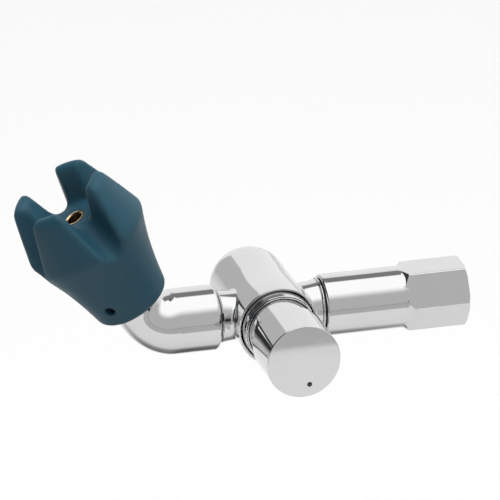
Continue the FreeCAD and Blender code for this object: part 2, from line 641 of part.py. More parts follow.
def gland_ring():
    """Thin ring that keeps the stem seal in."""
    return placed(ring(STEM_RADIUS + RUNNING, GUIDE_BUSH_RADIUS - SEATED,
                       BOSS_FRONT - GLAND_RING_THICKNESS, BOSS_FRONT), VALVE)


# Push button and everything on its stem

CAP_REAR = CAP_FRONT - CAP_LENGTH
CARRIER_FRONT = CAP_FRONT - CAP_FACE_THICKNESS
CARRIER_REAR = CARRIER_FRONT - CARRIER_THICKNESS
HUB_REAR = CARRIER_REAR - CARRIER_HUB_LENGTH
PISTON_FRONT = DASHPOT_FRONT - PISTON_END_GAP
PISTON_REAR = PISTON_FRONT - PISTON_THICKNESS
LIP_SEAL_REAR = PISTON_REAR - LIP_SEAL_THICKNESS
CIRCLIP_REAR = LIP_SEAL_REAR - CIRCLIP_THICKNESS
SEAT_REAR = -WEB_THICKNESS / 2 - SEAT_FLANGE_THICKNESS
WASHER_FRONT = SEAT_REAR - LIFT
WASHER_REAR = WASHER_FRONT - VALVE_WASHER_THICKNESS
HOLDER_REAR = WASHER_REAR - HOLDER_THICKNESS
WASHER_NUT_REAR = HOLDER_REAR - WASHER_NUT_LENGTH
STEM_REAR = WASHER_NUT_REAR - STEM_END
STEM_HOLE = STEM_RADIUS + PRESSED


def screw_socket(end):
    """Hexagon hole for the key in the end of a set screw."""
    return hexagon(SCREW_SOCKET_FLATS, end - SCREW_SOCKET_DEPTH, end + CUT_PAST)


def stroke_screw_offset():
    """Place of the stroke screw across the button, just inside the skirt."""
    reach = SKIRT_INNER - STROKE_SCREW_EDGE - STROKE_SCREW_RADIUS
    turn = math.radians(STROKE_SCREW_TURN)
    return V(reach * math.sin(turn), -reach * math.cos(turn), 0)


def push_cap():
    """Polished cup with a flat face and the key hole for the stroke screw."""
    cap = disc(CAP_RADIUS, CAP_REAR, CAP_FRONT)
    cap = cap.makeFillet(CAP_EDGE_ROUND, rims(cap, CAP_RADIUS, CAP_FRONT))
    cap = cap.makeChamfer(CAP_EDGE_ROUND, rims(cap, CAP_RADIUS, CAP_REAR))
    cap = cap.cut(disc(SKIRT_RADIUS + SEATED, CAP_REAR - CUT_PAST, CARRIER_FRONT))
    hole = disc(STROKE_HOLE_RADIUS, CARRIER_FRONT - CUT_PAST, CAP_FRONT + CUT_PAST)
    hole.translate(stroke_screw_offset())
    return placed(cap.cut(hole), VALVE)


def button_skirt():
    """Sleeve behind the cap that slides in the bezel nut."""
    skirt = ring(SKIRT_INNER, SKIRT_RADIUS, SKIRT_REAR, CARRIER_REAR)
    return placed(skirt, VALVE)


def button_carrier():
    """Disc and hub that join the cap, the skirt and the stem."""
    carrier = turned([(STEM_HOLE, CARRIER_FRONT), (STEM_HOLE, HUB_REAR),
                      (CARRIER_HUB_RADIUS, HUB_REAR), (CARRIER_HUB_RADIUS, CARRIER_REAR),
                      (SKIRT_RADIUS, CARRIER_REAR), (SKIRT_RADIUS, CARRIER_FRONT)])
    hole = disc(STROKE_SCREW_RADIUS + PRESSED, CARRIER_REAR - CUT_PAST, CARRIER_FRONT + CUT_PAST)
    hole.translate(stroke_screw_offset())
    return placed(carrier.cut(hole), VALVE)


def stroke_screw():
    """Socket screw whose end meets the housing and so sets the stroke and the run time."""
    tip = HOUSING_FRONT + STROKE + STROKE_MARGIN
    end = CARRIER_FRONT - SCREW_SINK
    screw = disc(STROKE_SCREW_RADIUS, tip, end).cut(screw_socket(end))
    screw.translate(stroke_screw_offset())
    return placed(screw, VALVE)


def stem():
    """Rod that carries the piston in front of the seat and the valve washer behind it."""
    front = CARRIER_FRONT - STEM_SINK
    shoulder = PISTON_FRONT + STEM_SHOULDER_LENGTH
    groove = STEM_RADIUS - CIRCLIP_GROOVE_DEPTH
    rod = turned([(0, front), (STEM_RADIUS, front), (STEM_RADIUS, shoulder),
                  (STEM_SHOULDER_RADIUS, shoulder), (STEM_SHOULDER_RADIUS, PISTON_FRONT),
                  (STEM_RADIUS, PISTON_FRONT), (STEM_RADIUS, LIP_SEAL_REAR), (groove, LIP_SEAL_REAR),
                  (groove, CIRCLIP_REAR), (STEM_RADIUS, CIRCLIP_REAR),
                  (STEM_RADIUS, STEM_REAR + STEM_END_CHAMFER),
                  (STEM_RADIUS - STEM_END_CHAMFER, STEM_REAR), (0, STEM_REAR)])
    return placed(rod, VALVE)


def hex_nut(flats, hole, low, high):
    """Nut with chamfered corners."""
    corner = flats / math.sqrt(3)
    rise = (corner - flats / 2) * NUT_CHAMFER_SLOPE
    blank = turned([(0, low), (flats / 2, low), (corner, low + rise), (corner, high - rise),
                    (flats / 2, high), (0, high)])
    bore = disc(hole, low - CUT_PAST, high + CUT_PAST)
    return hexagon(flats, low, high).common(blank).cut(bore)


def stem_nut():
    """Lock nut under the carrier hub."""
    return placed(hex_nut(STEM_NUT_FLATS, STEM_HOLE, HUB_REAR - STEM_NUT_LENGTH, HUB_REAR), VALVE)


def delay_piston():
    """Plastic piston that slows the return of the button."""
    outer = DASHPOT_RADIUS - PISTON_SIDE_GAP
    piston = turned([(STEM_HOLE, PISTON_REAR), (outer, PISTON_REAR),
                     (outer, PISTON_FRONT - PISTON_CHAMFER),
                     (outer - PISTON_CHAMFER, PISTON_FRONT), (STEM_HOLE, PISTON_FRONT)])
    return placed(piston, VALVE)


def lip_seal():
    """Cup seal behind the piston."""
    outer = DASHPOT_RADIUS - RUNNING
    channel = outer - LIP_SEAL_RIM
    seal = turned([(STEM_HOLE, LIP_SEAL_REAR), (channel - LIP_SEAL_CHANNEL_WIDTH, LIP_SEAL_REAR),
                   (channel - LIP_SEAL_CHANNEL_WIDTH / 2, LIP_SEAL_REAR + LIP_SEAL_CHANNEL_DEPTH),
                   (channel, LIP_SEAL_REAR), (outer, LIP_SEAL_REAR),
                   (outer - LIP_SEAL_TAPER, PISTON_REAR), (STEM_HOLE, PISTON_REAR)])
    return placed(seal, VALVE)


def piston_circlip():
    """Spring clip in the stem groove, open at one side."""
    inner = STEM_RADIUS - CIRCLIP_GROOVE_DEPTH + PRESSED
    clip = ring(inner, CIRCLIP_RADIUS, CIRCLIP_REAR, LIP_SEAL_REAR)
    gap = Part.makeBox(CIRCLIP_OPENING, CIRCLIP_RADIUS + CUT_PAST, CIRCLIP_THICKNESS + 2 * CUT_PAST,
                       V(-CIRCLIP_OPENING / 2, 0, CIRCLIP_REAR - CUT_PAST))
    return placed(clip.cut(gap), VALVE)


def valve_washer():
    """Rubber washer that closes the seat from the pressure side."""
    return placed(ring(STEM_HOLE, VALVE_WASHER_RADIUS, WASHER_REAR, WASHER_FRONT), VALVE)


def washer_holder():
    """Dished holder behind the valve washer."""
    return placed(turned([(STEM_HOLE, HOLDER_REAR), (HOLDER_RADIUS - HOLDER_CHAMFER, HOLDER_REAR),
                          (HOLDER_RADIUS, HOLDER_REAR + HOLDER_CHAMFER),
                          (HOLDER_RADIUS, WASHER_REAR + HOLDER_LIP),
                          (VALVE_WASHER_RADIUS + SEATED, WASHER_REAR + HOLDER_LIP),
                          (VALVE_WASHER_RADIUS + SEATED, WASHER_REAR), (STEM_HOLE, WASHER_REAR)]),
                  VALVE)


def washer_nut():
    """Nut on the rear end of the stem."""
    return placed(hex_nut(WASHER_NUT_FLATS, STEM_HOLE, WASHER_NUT_REAR, HOLDER_REAR), VALVE)


# Return spring

SPRING_REAR = HOUSING_FRONT
SPRING_FRONT = CARRIER_REAR
SPRING_STEPS = 2              # lengths of curve in one turn
SPRING_SAMPLES = 48           # points on one turn when the gap is measured


def spring_point(turn, total, low, high):
    """Point and direction on the coil after a number of turns, with close end turns."""
    end = SPRING_END_TURNS
    end_rise = SPRING_WIRE + SPRING_END_GAP
    open_rise = (high - low - 2 * end_rise * end) / (total - 2 * end)

    def height(t):
        lower = min(t, end) * end_rise
        middle = max(0.0, min(t, total - end) - end) * open_rise
        upper = max(0.0, t - (total - end)) * end_rise
        return low + lower + middle + upper

    angle = 2 * math.pi * turn
    point = V(SPRING_MEAN_RADIUS * math.cos(angle), SPRING_MEAN_RADIUS * math.sin(angle), height(turn))
    small = 0.001
    rise = (height(min(turn + small, total)) - height(max(turn - small, 0))) / (2 * small)
    if turn < small or turn > total - small:
        rise = rise * 2
    ahead = V(-2 * math.pi * SPRING_MEAN_RADIUS * math.sin(angle),
              2 * math.pi * SPRING_MEAN_RADIUS * math.cos(angle), rise)
    return point, ahead.normalize()


def two_arcs(start, start_dir, end, end_dir):
    """Pair of arcs that leave and arrive in the given directions and meet smoothly."""
    chord = end - start
    both = start_dir + end_dir
    bend = 2 * (1 - start_dir.dot(end_dir))
    reach = (-chord.dot(both) + math.sqrt(chord.dot(both) ** 2 + bend * chord.dot(chord))) / bend
    first_corner = start + start_dir * reach
    last_corner = end - end_dir * reach
    joint = (first_corner + last_corner) * 0.5
    arcs = []
    for a, corner, b in ((start, first_corner, joint), (joint, last_corner, end)):
        middle = (a + b) * 0.5
        to_corner = corner - middle
        half = (b - a).Length / 2
        rise = (math.sqrt(half * half + to_corner.Length ** 2) - half) * half / to_corner.Length
        arcs.append(Part.Arc(a, middle + to_corner.normalize() * rise, b).toShape())
    return arcs


def least_gap(path, turns):
    """Least distance between the surfaces of two turns, measured on points of the wire's middle."""
    points = path.discretize(Number=turns * SPRING_SAMPLES + 1)
    nearest = min((a - b).Length for i, a in enumerate(points)
                  for b in points[i + SPRING_SAMPLES // 2:])
    return nearest - SPRING_WIRE


def return_spring():
    """Compression spring between the housing and the button carrier."""
    low = SPRING_REAR + SPRING_WIRE / 2 + SEATED
    high = SPRING_FRONT - SPRING_WIRE / 2 - SEATED
    total = SPRING_TURNS + 2 * SPRING_END_TURNS
    stations = [i / SPRING_STEPS for i in range(total * SPRING_STEPS + 1)]
    edges = []
    for a, b in zip(stations, stations[1:]):
        start, start_dir = spring_point(a, total, low, high)
        end, end_dir = spring_point(b, total, low, high)
        edges.extend(two_arcs(start, start_dir, end, end_dir))
    path = Part.Wire(edges)
    print("return_spring least gap to itself", round(least_gap(path, total), 3), "mm")
    start, start_dir = spring_point(0, total, low, high)
    across = FreeCAD.Placement(start, FreeCAD.Rotation(Z_AXIS, start_dir))
    turns = [2 * math.pi * (i + 0.5) / SPRING_WIRE_SIDES for i in range(SPRING_WIRE_SIDES + 1)]
    corners = [V(math.cos(t), math.sin(t), 0) * (SPRING_WIRE / 2) for t in turns]
    section = Part.makePolygon([across.multVec(corner) for corner in corners])
    return placed(path.makePipeShell([section], True, False), VALVE)


# Spout

ELBOW_START = OUTLET_NECK_END + THRUST_WASHER_THICKNESS
OUTLET_SPIGOT_END = OUTLET_NECK_END + SPIGOT_LENGTH
BEND_TANGENT = ELBOW_BEND_RADIUS * math.tan(RISE / 2)
ELBOW_END = BEND_TANGENT + ELBOW_TIP_LENGTH
BEND_CENTRE = CORNER + V(BEND_TANGENT, 0, ELBOW_BEND_RADIUS)


def bend_place(turn):
    """Place on the bend's centre line after a turn in degrees, with local Z along the run."""
    t = math.radians(turn)
    point = BEND_CENTRE + V(-math.sin(t), 0, -math.cos(t)) * ELBOW_BEND_RADIUS
    along = V(-math.cos(t), 0, math.sin(t))
    across = V(math.sin(t), 0, math.cos(t))
    return frame(point, across, Y_AXIS, along)


def bend(start_radius, end_radius, steps):
    """Bent round bar that narrows evenly from one radius to the other."""
    sections = []
    for i in range(steps + 1):
        share = i / steps
        eased = share * share * (3 - 2 * share)
        radius = start_radius + (end_radius - start_radius) * eased
        circle = Part.Wire(Part.makeCircle(radius))
        sections.append(placed(circle, bend_place(HEAD_RISE * share)))
    return Part.makeLoft(sections, True, False)


def elbow_bore():
    """Waterway through the elbow: straight, round the bend and up to the nozzle."""
    straight = placed(disc(ELBOW_WATERWAY_RADIUS, OUTLET_SPIGOT_END - CUT_PAST,
                           ELBOW_CORNER - BEND_TANGENT), OUTLET)
    circle = Part.Face(Part.Wire(Part.makeCircle(ELBOW_WATERWAY_RADIUS)))
    turn = placed(circle, bend_place(0)).revolve(BEND_CENTRE, Y_AXIS, HEAD_RISE)
    rise = placed(disc(ELBOW_WATERWAY_RADIUS, BEND_TANGENT, ELBOW_END - CUT_PAST), HEAD)
    return straight.fuse([turn, rise])


def spout_elbow():
    """Cast elbow with a socket for the valve spigot and a slimmer end for the mouthguard."""
    bend_start = ELBOW_CORNER - BEND_TANGENT
    barrel = disc(ELBOW_RADIUS, ELBOW_START, bend_start)
    barrel = barrel.makeFillet(ELBOW_END_ROUND, rims(barrel, ELBOW_RADIUS, ELBOW_START))
    tip = disc(ELBOW_TIP_RADIUS, BEND_TANGENT, ELBOW_END)
    tip = tip.makeChamfer(ELBOW_TIP_CHAMFER, rims(tip, ELBOW_TIP_RADIUS, ELBOW_END))
    narrowing = bend(ELBOW_RADIUS, ELBOW_TIP_RADIUS, BEND_SECTIONS)
    elbow = placed(barrel, OUTLET).fuse([narrowing, placed(tip, HEAD)])
    socket = disc(SPIGOT_RADIUS + SPOUT_SOCKET_CLEARANCE, ELBOW_START - CUT_PAST,
                  OUTLET_SPIGOT_END + SPIGOT_END_ROOM)
    screw_hole = placed(disc(RETAINING_SCREW_RADIUS + PRESSED, 0, ELBOW_RADIUS + CUT_PAST),
                        retaining_place())
    tail = disc(NOZZLE_TAIL_RADIUS + SEATED, CORE_TOP - NOZZLE_TAIL_LENGTH - SPIGOT_END_ROOM,
                ELBOW_END + CUT_PAST)
    dimple = placed(disc(GUARD_SCREW_RADIUS + THREADED, ELBOW_TIP_RADIUS - GUARD_DIMPLE_DEPTH,
                         ELBOW_RADIUS), guard_screw_place())
    cuts = [placed(socket, OUTLET), elbow_bore(), screw_hole, placed(tail, HEAD), dimple]
    return elbow.cut(cuts).removeSplitter()


def retaining_place():
    """Place of the retaining screw, pointing straight down from the spout axis."""
    return frame(CROSSING + V(-OUTLET_NECK_END - SWING_GROOVE_CENTRE, 0, 0), X_AXIS, -Y_AXIS, -Z_AXIS)


def spout_retaining_screw():
    """Dog-point screw under the elbow that keeps it on and limits its swing."""
    point = RETAINING_POINT_END
    shoulder = SPIGOT_RADIUS + RETAINING_SHOULDER_GAP
    end = ELBOW_RADIUS - SCREW_SINK
    screw = turned([(0, point), (RETAINING_POINT_RADIUS, point), (RETAINING_POINT_RADIUS, shoulder),
                    (RETAINING_SCREW_RADIUS, shoulder), (RETAINING_SCREW_RADIUS, end), (0, end)])
    return placed(screw.cut(screw_socket(end)), retaining_place())


def spout_thrust_washer():
    """Black washer in the joint between the outlet neck and the elbow."""
    return placed(ring(SPIGOT_RADIUS + SEATED, THRUST_WASHER_RADIUS, OUTLET_NECK_END,
                       ELBOW_START - SEATED), OUTLET)


def flow_regulator():
    """Plastic disc with a ring of holes in the mouth of the outlet spigot."""
    low = OUTLET_SPIGOT_END - REGULATOR_LENGTH
    top = OUTLET_SPIGOT_END - REGULATOR_SINK
    floor = low + REGULATOR_FLOOR
    inner = REGULATOR_RADIUS - REGULATOR_RIM
    cup = turned([(0, low), (REGULATOR_RADIUS, low), (REGULATOR_RADIUS, top), (inner, top),
                  (inner, floor), (0, floor)])
    hole = disc(REGULATOR_HOLE_RADIUS, low - CUT_PAST, floor + CUT_PAST)
    hole.translate(V(REGULATOR_HOLE_PITCH, 0, 0))
    holes = [at_turn(hole, FULL_TURN * i / REGULATOR_HOLES) for i in range(REGULATOR_HOLES)]
    return placed(cup.cut(holes), OUTLET)


def regulator_ring():
    """Rubber ring that evens the flow as the pressure changes."""
    low = OUTLET_SPIGOT_END - REGULATOR_LENGTH + REGULATOR_FLOOR
    return placed(ring(REGULATOR_RING_BORE, REGULATOR_RADIUS - REGULATOR_RIM - SEATED, low,
                       low + REGULATOR_RING_THICKNESS), OUTLET)


# Mouthguard and nozzle, all about the head axis from the corner

GUARD_TOP = GUARD_START + GUARD_HEIGHT
NOZZLE_FACE = GUARD_START + GUARD_NOZZLE_HEIGHT
CORE_LOW = GUARD_START + CORE_START
CORE_TOP = ELBOW_END + CORE_END_THICKNESS
FLANGE_TOP = CORE_TOP + NOZZLE_FLANGE_THICKNESS


def guard_screw_place():
    """Place of the mouthguard's grub screw, pointing out from the head axis."""
    turn = math.radians(GUARD_SCREW_TURN)
    outward = HEAD_SIDE * math.cos(turn) + Y_AXIS * math.sin(turn)
    point = CORNER + HEAD_AXIS * (GUARD_START + GUARD_SCREW_HEIGHT)
    return frame(point, HEAD_AXIS, outward.cross(HEAD_AXIS), outward)


def tangent_point(outside, centre, radius, side):
    """Point of the profile plane where a line from outside touches a circle."""
    away = outside - centre
    angle = math.atan2(away.z, away.y) + side * math.acos(radius / away.Length)
    return centre + V(0, math.cos(angle), math.sin(angle)) * radius


def guard_blank():
    """Turned rubber form before the slots are cut: flared cup with a rounded rim."""
    low = GUARD_START
    base = V(0, GUARD_BASE_RADIUS, low)
    shoulder = V(0, GUARD_SHOULDER_RADIUS, low + GUARD_SHOULDER_HEIGHT)
    waist = (base + shoulder) * 0.5 - V(0, GUARD_FLARE_SAG, 0)
    tip = V(0, GUARD_TIP_RADIUS, GUARD_TOP - GUARD_TIP_ROUND)
    pocket = V(0, GUARD_POCKET_RADIUS, NOZZLE_FACE)
    outer_tip = tangent_point(shoulder, tip, GUARD_TIP_ROUND, 1)
    inner_tip = tangent_point(pocket, tip, GUARD_TIP_ROUND, -1)
    crest = tip + V(0, 0, GUARD_TIP_ROUND)
    blank = turned([
        Part.makeLine(V(0, 0, low), base),
        Part.Arc(base, waist, shoulder).toShape(),
        Part.makeLine(shoulder, outer_tip),
        Part.Arc(outer_tip, crest, inner_tip).toShape(),
        Part.makeLine(inner_tip, pocket),
        Part.makeLine(pocket, V(0, 0, NOZZLE_FACE)),
        Part.makeLine(V(0, 0, NOZZLE_FACE), V(0, 0, low)),
    ])
    blank = blank.makeFillet(GUARD_BASE_ROUND, rims(blank, GUARD_BASE_RADIUS, low))
    return blank.makeFillet(GUARD_SHOULDER_ROUND, rims(blank, GUARD_SHOULDER_RADIUS, shoulder.z))


def slot_cutter():
    """Round-bottomed, flared channel that slopes from the nozzle face out below the shoulder."""
    head = V(GUARD_SLOT_HEAD_RADIUS, 0, NOZZLE_FACE)
    foot = V(GUARD_SHOULDER_RADIUS, 0, GUARD_START + GUARD_SLOT_FOOT)
    down = foot - head
    length = down.Length
    down.normalize()
    up = V(-down.z, 0, down.x)
    flare = math.radians(GUARD_SLOT_FLARE)
    across = Y_AXIS * math.cos(flare) - up * math.sin(flare)
    across_other = -Y_AXIS * math.cos(flare) - up * math.sin(flare)
    bottom = head - down * GUARD_SLOT_HEAD_RADIUS
    centre = bottom + up * GUARD_SLOT_ROUND
    right = centre + across * GUARD_SLOT_ROUND
    left = centre + across_other * GUARD_SLOT_ROUND
    right_top = right + (up * math.cos(flare) + Y_AXIS * math.sin(flare)) * GUARD_HEIGHT
    left_top = left + (up * math.cos(flare) - Y_AXIS * math.sin(flare)) * GUARD_HEIGHT
    profile = Part.Wire([
        Part.Arc(left, bottom, right).toShape(),
        Part.makeLine(right, right_top),
        Part.makeLine(right_top, left_top),
        Part.makeLine(left_top, left),
    ])
    return Part.Face(profile).extrude(down * (GUARD_SLOT_HEAD_RADIUS + 2 * length))


def mouthguard():
    """Rubber mouthguard: four prongs round the nozzle with sloping slots between them."""
    cutter = slot_cutter()
    slots = [at_turn(cutter, GUARD_TURN + FULL_TURN * i / GUARD_PRONGS) for i in range(GUARD_PRONGS)]
    guard = at_turn(guard_blank(), GUARD_TURN - 90).cut(slots)
    below = GUARD_START - CUT_PAST
    cavity = turned([(0, below), (ELBOW_TIP_RADIUS + SEATED, below),
                     (ELBOW_TIP_RADIUS + SEATED, CORE_LOW), (CORE_RADIUS, CORE_LOW),
                     (CORE_RADIUS, CORE_TOP), (NOZZLE_FLANGE_RADIUS, CORE_TOP),
                     (NOZZLE_FLANGE_RADIUS, FLANGE_TOP), (NOZZLE_RADIUS, FLANGE_TOP),
                     (NOZZLE_RADIUS, GUARD_TOP), (0, GUARD_TOP)])
    guard = placed(guard.cut(cavity), HEAD)
    hole = placed(disc(GUARD_SCREW_HOLE_RADIUS, 0, GUARD_SHOULDER_RADIUS), guard_screw_place())
    return guard.cut(hole)


def mouthguard_core():
    """Metal cup inside the rubber that seats on the end of the elbow."""
    inner = CORE_RADIUS - CORE_WALL
    core = turned([(inner, CORE_LOW), (CORE_RADIUS, CORE_LOW), (CORE_RADIUS, CORE_TOP),
                   (NOZZLE_TAIL_RADIUS + SEATED, CORE_TOP), (NOZZLE_TAIL_RADIUS + SEATED, ELBOW_END),
                   (inner, ELBOW_END)])
    core = placed(core, HEAD)
    tapping = disc(GUARD_SCREW_RADIUS + PRESSED, 0, CORE_RADIUS + CUT_PAST)
    return core.cut(placed(tapping, guard_screw_place()))


def mouthguard_screw():
    """Grub screw in the core, reached through the hole in the rubber."""
    low = ELBOW_TIP_RADIUS - GUARD_SCREW_BITE
    high = CORE_RADIUS - GUARD_SCREW_SINK
    screw = disc(GUARD_SCREW_RADIUS, low, high).cut(screw_socket(high))
    return placed(screw, guard_screw_place())


def nozzle():
    """Brass nozzle: threaded tail, clamping flange and the tube that ends at the nozzle face."""
    tail_low = CORE_TOP - NOZZLE_TAIL_LENGTH
    top = NOZZLE_FACE + NOZZLE_PROUD
    body = turned([(NOZZLE_BORE, tail_low), (NOZZLE_TAIL_RADIUS, tail_low),
                   (NOZZLE_TAIL_RADIUS, CORE_TOP), (NOZZLE_FLANGE_RADIUS - SEATED, CORE_TOP),
                   (NOZZLE_FLANGE_RADIUS - SEATED, FLANGE_TOP), (NOZZLE_RADIUS, FLANGE_TOP),
                   (NOZZLE_RADIUS, top), (NOZZLE_BORE + NOZZLE_MOUTH_CHAMFER, top),
                   (NOZZLE_BORE, top - NOZZLE_MOUTH_CHAMFER)])
    groove = seated_groove(NOZZLE_TAIL_RADIUS, NOZZLE_SEAL_SECTION, NOZZLE_SEAL_GROOVE,
                           nozzle_seal_height())
    return placed(body.cut(groove), HEAD)


def nozzle_seal_height():
    """Height of the O-ring on the nozzle tail."""
    return CORE_TOP - NOZZLE_TAIL_LENGTH + NOZZLE_SEAL_RISE


def nozzle_seal():
    """O-ring on the nozzle tail."""
    return placed(o_ring(NOZZLE_TAIL_RADIUS - NOZZLE_SEAL_SECTION / 2, NOZZLE_SEAL_SECTION,
                         nozzle_seal_height()), HEAD)


SINGLE_PIECES = [
    valve_body, valve_seat, inlet_pipe, inlet_seal_ring, strainer_washer, strainer_screen,
    bezel_nut, cartridge_housing, housing_seal, stem_guide_bush, stem_seal, gland_ring,
    push_cap, button_skirt, button_carrier, stroke_screw, stem, stem_nut, delay_piston, lip_seal,
    piston_circlip, valve_washer, washer_holder, washer_nut, return_spring,
    spout_elbow, spout_retaining_screw, spout_thrust_washer, flow_regulator, regulator_ring,
    mouthguard, mouthguard_core, mouthguard_screw, nozzle, nozzle_seal,
]


def main():
    os.makedirs("parts", exist_ok=True)
    for make in SINGLE_PIECES:
        shape = make()
        shape.exportStep("parts/" + make.__name__ + ".step")
        print(make.__name__, len(shape.Solids), "solid", round(shape.Volume, 1), "mm3", shape.isValid())
    for name, neck_end, place in (("inlet_spigot_seals", INLET_NECK_END, INLET),
                                  ("spout_spigot_seals", OUTLET_NECK_END, OUTLET)):
        Part.makeCompound(spigot_seals(neck_end, place)).exportStep("parts/" + name + ".step")


main()
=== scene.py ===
"""Looks of a drinking fountain bubbler: finishes, softened and threaded pieces, and the studio."""

import json
import math

import bpy
import numpy as np
from mathutils import Matrix, Vector


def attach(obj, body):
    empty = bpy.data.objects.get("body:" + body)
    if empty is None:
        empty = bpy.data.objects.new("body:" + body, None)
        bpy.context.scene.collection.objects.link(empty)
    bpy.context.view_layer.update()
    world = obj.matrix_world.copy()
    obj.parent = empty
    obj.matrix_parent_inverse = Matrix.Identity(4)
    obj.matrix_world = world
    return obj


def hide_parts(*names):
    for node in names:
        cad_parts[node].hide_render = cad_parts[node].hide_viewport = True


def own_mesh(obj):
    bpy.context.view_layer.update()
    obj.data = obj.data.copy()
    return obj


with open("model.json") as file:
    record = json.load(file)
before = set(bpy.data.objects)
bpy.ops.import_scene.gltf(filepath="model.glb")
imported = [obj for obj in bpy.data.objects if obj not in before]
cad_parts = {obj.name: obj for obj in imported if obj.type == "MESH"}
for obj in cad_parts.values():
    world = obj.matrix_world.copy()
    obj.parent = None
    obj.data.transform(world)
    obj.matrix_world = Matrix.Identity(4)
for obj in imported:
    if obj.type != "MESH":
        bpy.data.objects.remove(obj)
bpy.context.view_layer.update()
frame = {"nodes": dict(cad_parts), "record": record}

MM = 0.001
NODES = frame["nodes"]
CROSSING = Vector((-0.086, 0.0, 0.0))      # where the barrel's axis meets the inlet's

# The photograph's view, from pixels of its 500 x 500 frame

PHOTO_SIDE = 500
METRES_PER_PIXEL = 0.000425
CROSSING_PIXEL = (268.3, 310.8)
VIEW_RIGHT = Vector((0.9627, -0.2706, 0.0))
VIEW_UP = Vector((0.1049, 0.3726, 0.9219))
VIEW_BACK = VIEW_RIGHT.cross(VIEW_UP).normalized()
CAMERA_DISTANCE = 8.0
CAMERA_REACH = 100.0
SENSOR_WIDTH = 36.0

# The mouthguard's soft edges, firmer at the shoulder than along the prongs

HEAD_RISE = math.radians(58.1)
ELBOW_CORNER = Vector((-0.1381, 0.0, 0.0))
HEAD_AXIS = Vector((-math.cos(HEAD_RISE), 0.0, math.sin(HEAD_RISE)))
GUARD_VOXEL = 0.42 * MM
SMOOTHING_SHARE = 0.5         # of the way to the neighbours' middle, at each pass
GUARD_PASSES = 14
PRONG_PASSES = 110
PRONG_FILL = 0.6 * MM         # what the prongs are given back after their smoothing
PRONG_START = 36.0 * MM       # along the head's axis from the elbow's corner
PRONG_FULL = 54.0 * MM

# Turned rings, as (radius, place on the axis) corners in millimetres

TURNED_SPOKES = 256
SHARP_ANGLE = math.radians(32)
SEAL_OUTLINE = [(10.2, -63.25), (11.35, -63.25), (11.55, -63.1),
                (11.55, -62.85), (11.35, -62.7), (10.2, -62.7)]
NECK_RIM_OUTLINE = [(10.9, -64.15), (11.55, -64.15), (11.85, -64.05), (12.0, -63.85),
                    (12.0, -63.55), (11.85, -63.35), (11.6, -63.25), (10.9, -63.25)]
BEZEL_OUTLINE = [(15.7, 8.4), (15.7, 16.2), (16.4, 16.2), (16.4, 17.2), (16.22, 17.6),
                 (16.1, 17.85), (16.08, 17.95), (15.42, 21.15), (15.4, 21.25), (15.25, 21.4),
                 (15.15, 21.4), (15.1, 20.9), (14.95, 20.9), (14.9, 21.9), (14.78, 22.1),
                 (14.55, 22.1), (14.4, 21.95), (14.32, 21.6), (14.32, 8.4)]

# Return spring

# Parallel pipe thread of the inlet, crests at the bore

THREAD_CREST_RADIUS = 9.315 * MM
THREAD_DEPTH = 1.162 * MM
THREAD_PITCH = 1.814 * MM
THREAD_LENGTH = 16.0 * MM
THREAD_LEAD_IN = 0.4 * MM
THREAD_RUN_IN = 1.2 * MM      # over which the groove deepens at each end
THREAD_ROOT = 0.125           # half of the root's width, in pitches
THREAD_FLANK = 0.25           # width of a flank, in pitches
THREAD_SPOKES = 120
THREAD_STEPS_PER_PITCH = 16
BORE_TOLERANCE = 0.01 * MM    # for points read back from the plain bore
BORE_END = 0.1 * MM           # the shoulder at the bore's end stays within this of it

# Noises of the finishes, as (cells per metre, octaves), and heights of their relief in metres

NOISE_RANGE = (0.3, 0.7)
METAL_CLOUDS = (60, 4)
METAL_RUB = (900, 5)
METAL_RUB_STRETCH = (0.15, 1, 1)
METAL_RUB_HEIGHT = 0.00002
METAL_RIPPLE = (160, 1)
METAL_RIPPLE_HEIGHT = 0.00012
MOULDED_CLOUDS = (110, 5)
MOULDED_SKIN_OCTAVES = 4
MOULDED_SKIN_STRENGTH = 0.35

# Studio surround: light levels, and soft edges in degrees above level or round from straight behind

BACKDROP_LEVEL = 1.12
BACKDROP_LEFT_EDGE = (-13.0, -10.5)
BACKDROP_RIGHT_EDGE = (110.0, 60.0)
ROOM_LEVEL = 0.64
CEILING_LEVEL = 1.5
CEILING_EDGE = (33.0, 60.0)
STRIP_LEVEL = 0.28
STRIP_LOWER_EDGE = (36.0, 44.0)
STRIP_UPPER_EDGE = (67.0, 62.0)
STRIP_LEFT_EDGE = (-75.0, -60.0)
STRIP_RIGHT_EDGE = (48.0, 36.0)
DARK_LEVEL = 0.06
DARK_RIGHT_EDGE = (-40.0, -47.0)
DARK_LEFT_EDGE = (-158.0, -150.0)
DARK_UPPER_EDGE = (62.0, 58.0)
DARK_CORNER_EDGE = (-24.0, -34.0)
DARK_CORNER_LOWER_EDGE = (18.0, 26.0)

# Lights

OVERHEAD_PLACE = (-0.1, -0.05, 1.5)
OVERHEAD_SIZE = (2.0, 1.5)
OVERHEAD_POWER = 30.0
KEY_HEIGHT = math.radians(63.0)    # above level, straight from the camera's side
KEY_WIDTH = math.radians(12.0)
KEY_STRENGTH = 5.8

# Floor: its paint, darker in front of an edge, with painted shadow in a soft oval under the part

FLOOR_HEIGHT = -0.15
FLOOR_SIDE = 40.0
FLOOR_ROUGHNESS = 0.9
FLOOR_PAINT = 0.3
FLOOR_FRONT_PAINT = 0.165
FLOOR_FRONT_EDGE = (-0.408, -0.413)
# painted shadow: the floor's level in the soft oval under the part, with its place, reach and edge
FLOOR_PAINTED_SHADOW_LEVEL = 0.095
FLOOR_PAINTED_SHADOW_PLACE = (-0.1, 0.052)
FLOOR_PAINTED_SHADOW_REACH = (0.21, 0.088)
FLOOR_PAINTED_SHADOW_EDGE = (1.0, 0.35)     # in reaches from its place


# Shader nodes

def set_or_link(tree, socket, value):
    """Gives a socket a number, or the output of another node."""
    if isinstance(value, (int, float)):
        socket.default_value = value
    else:
        tree.links.new(value, socket)


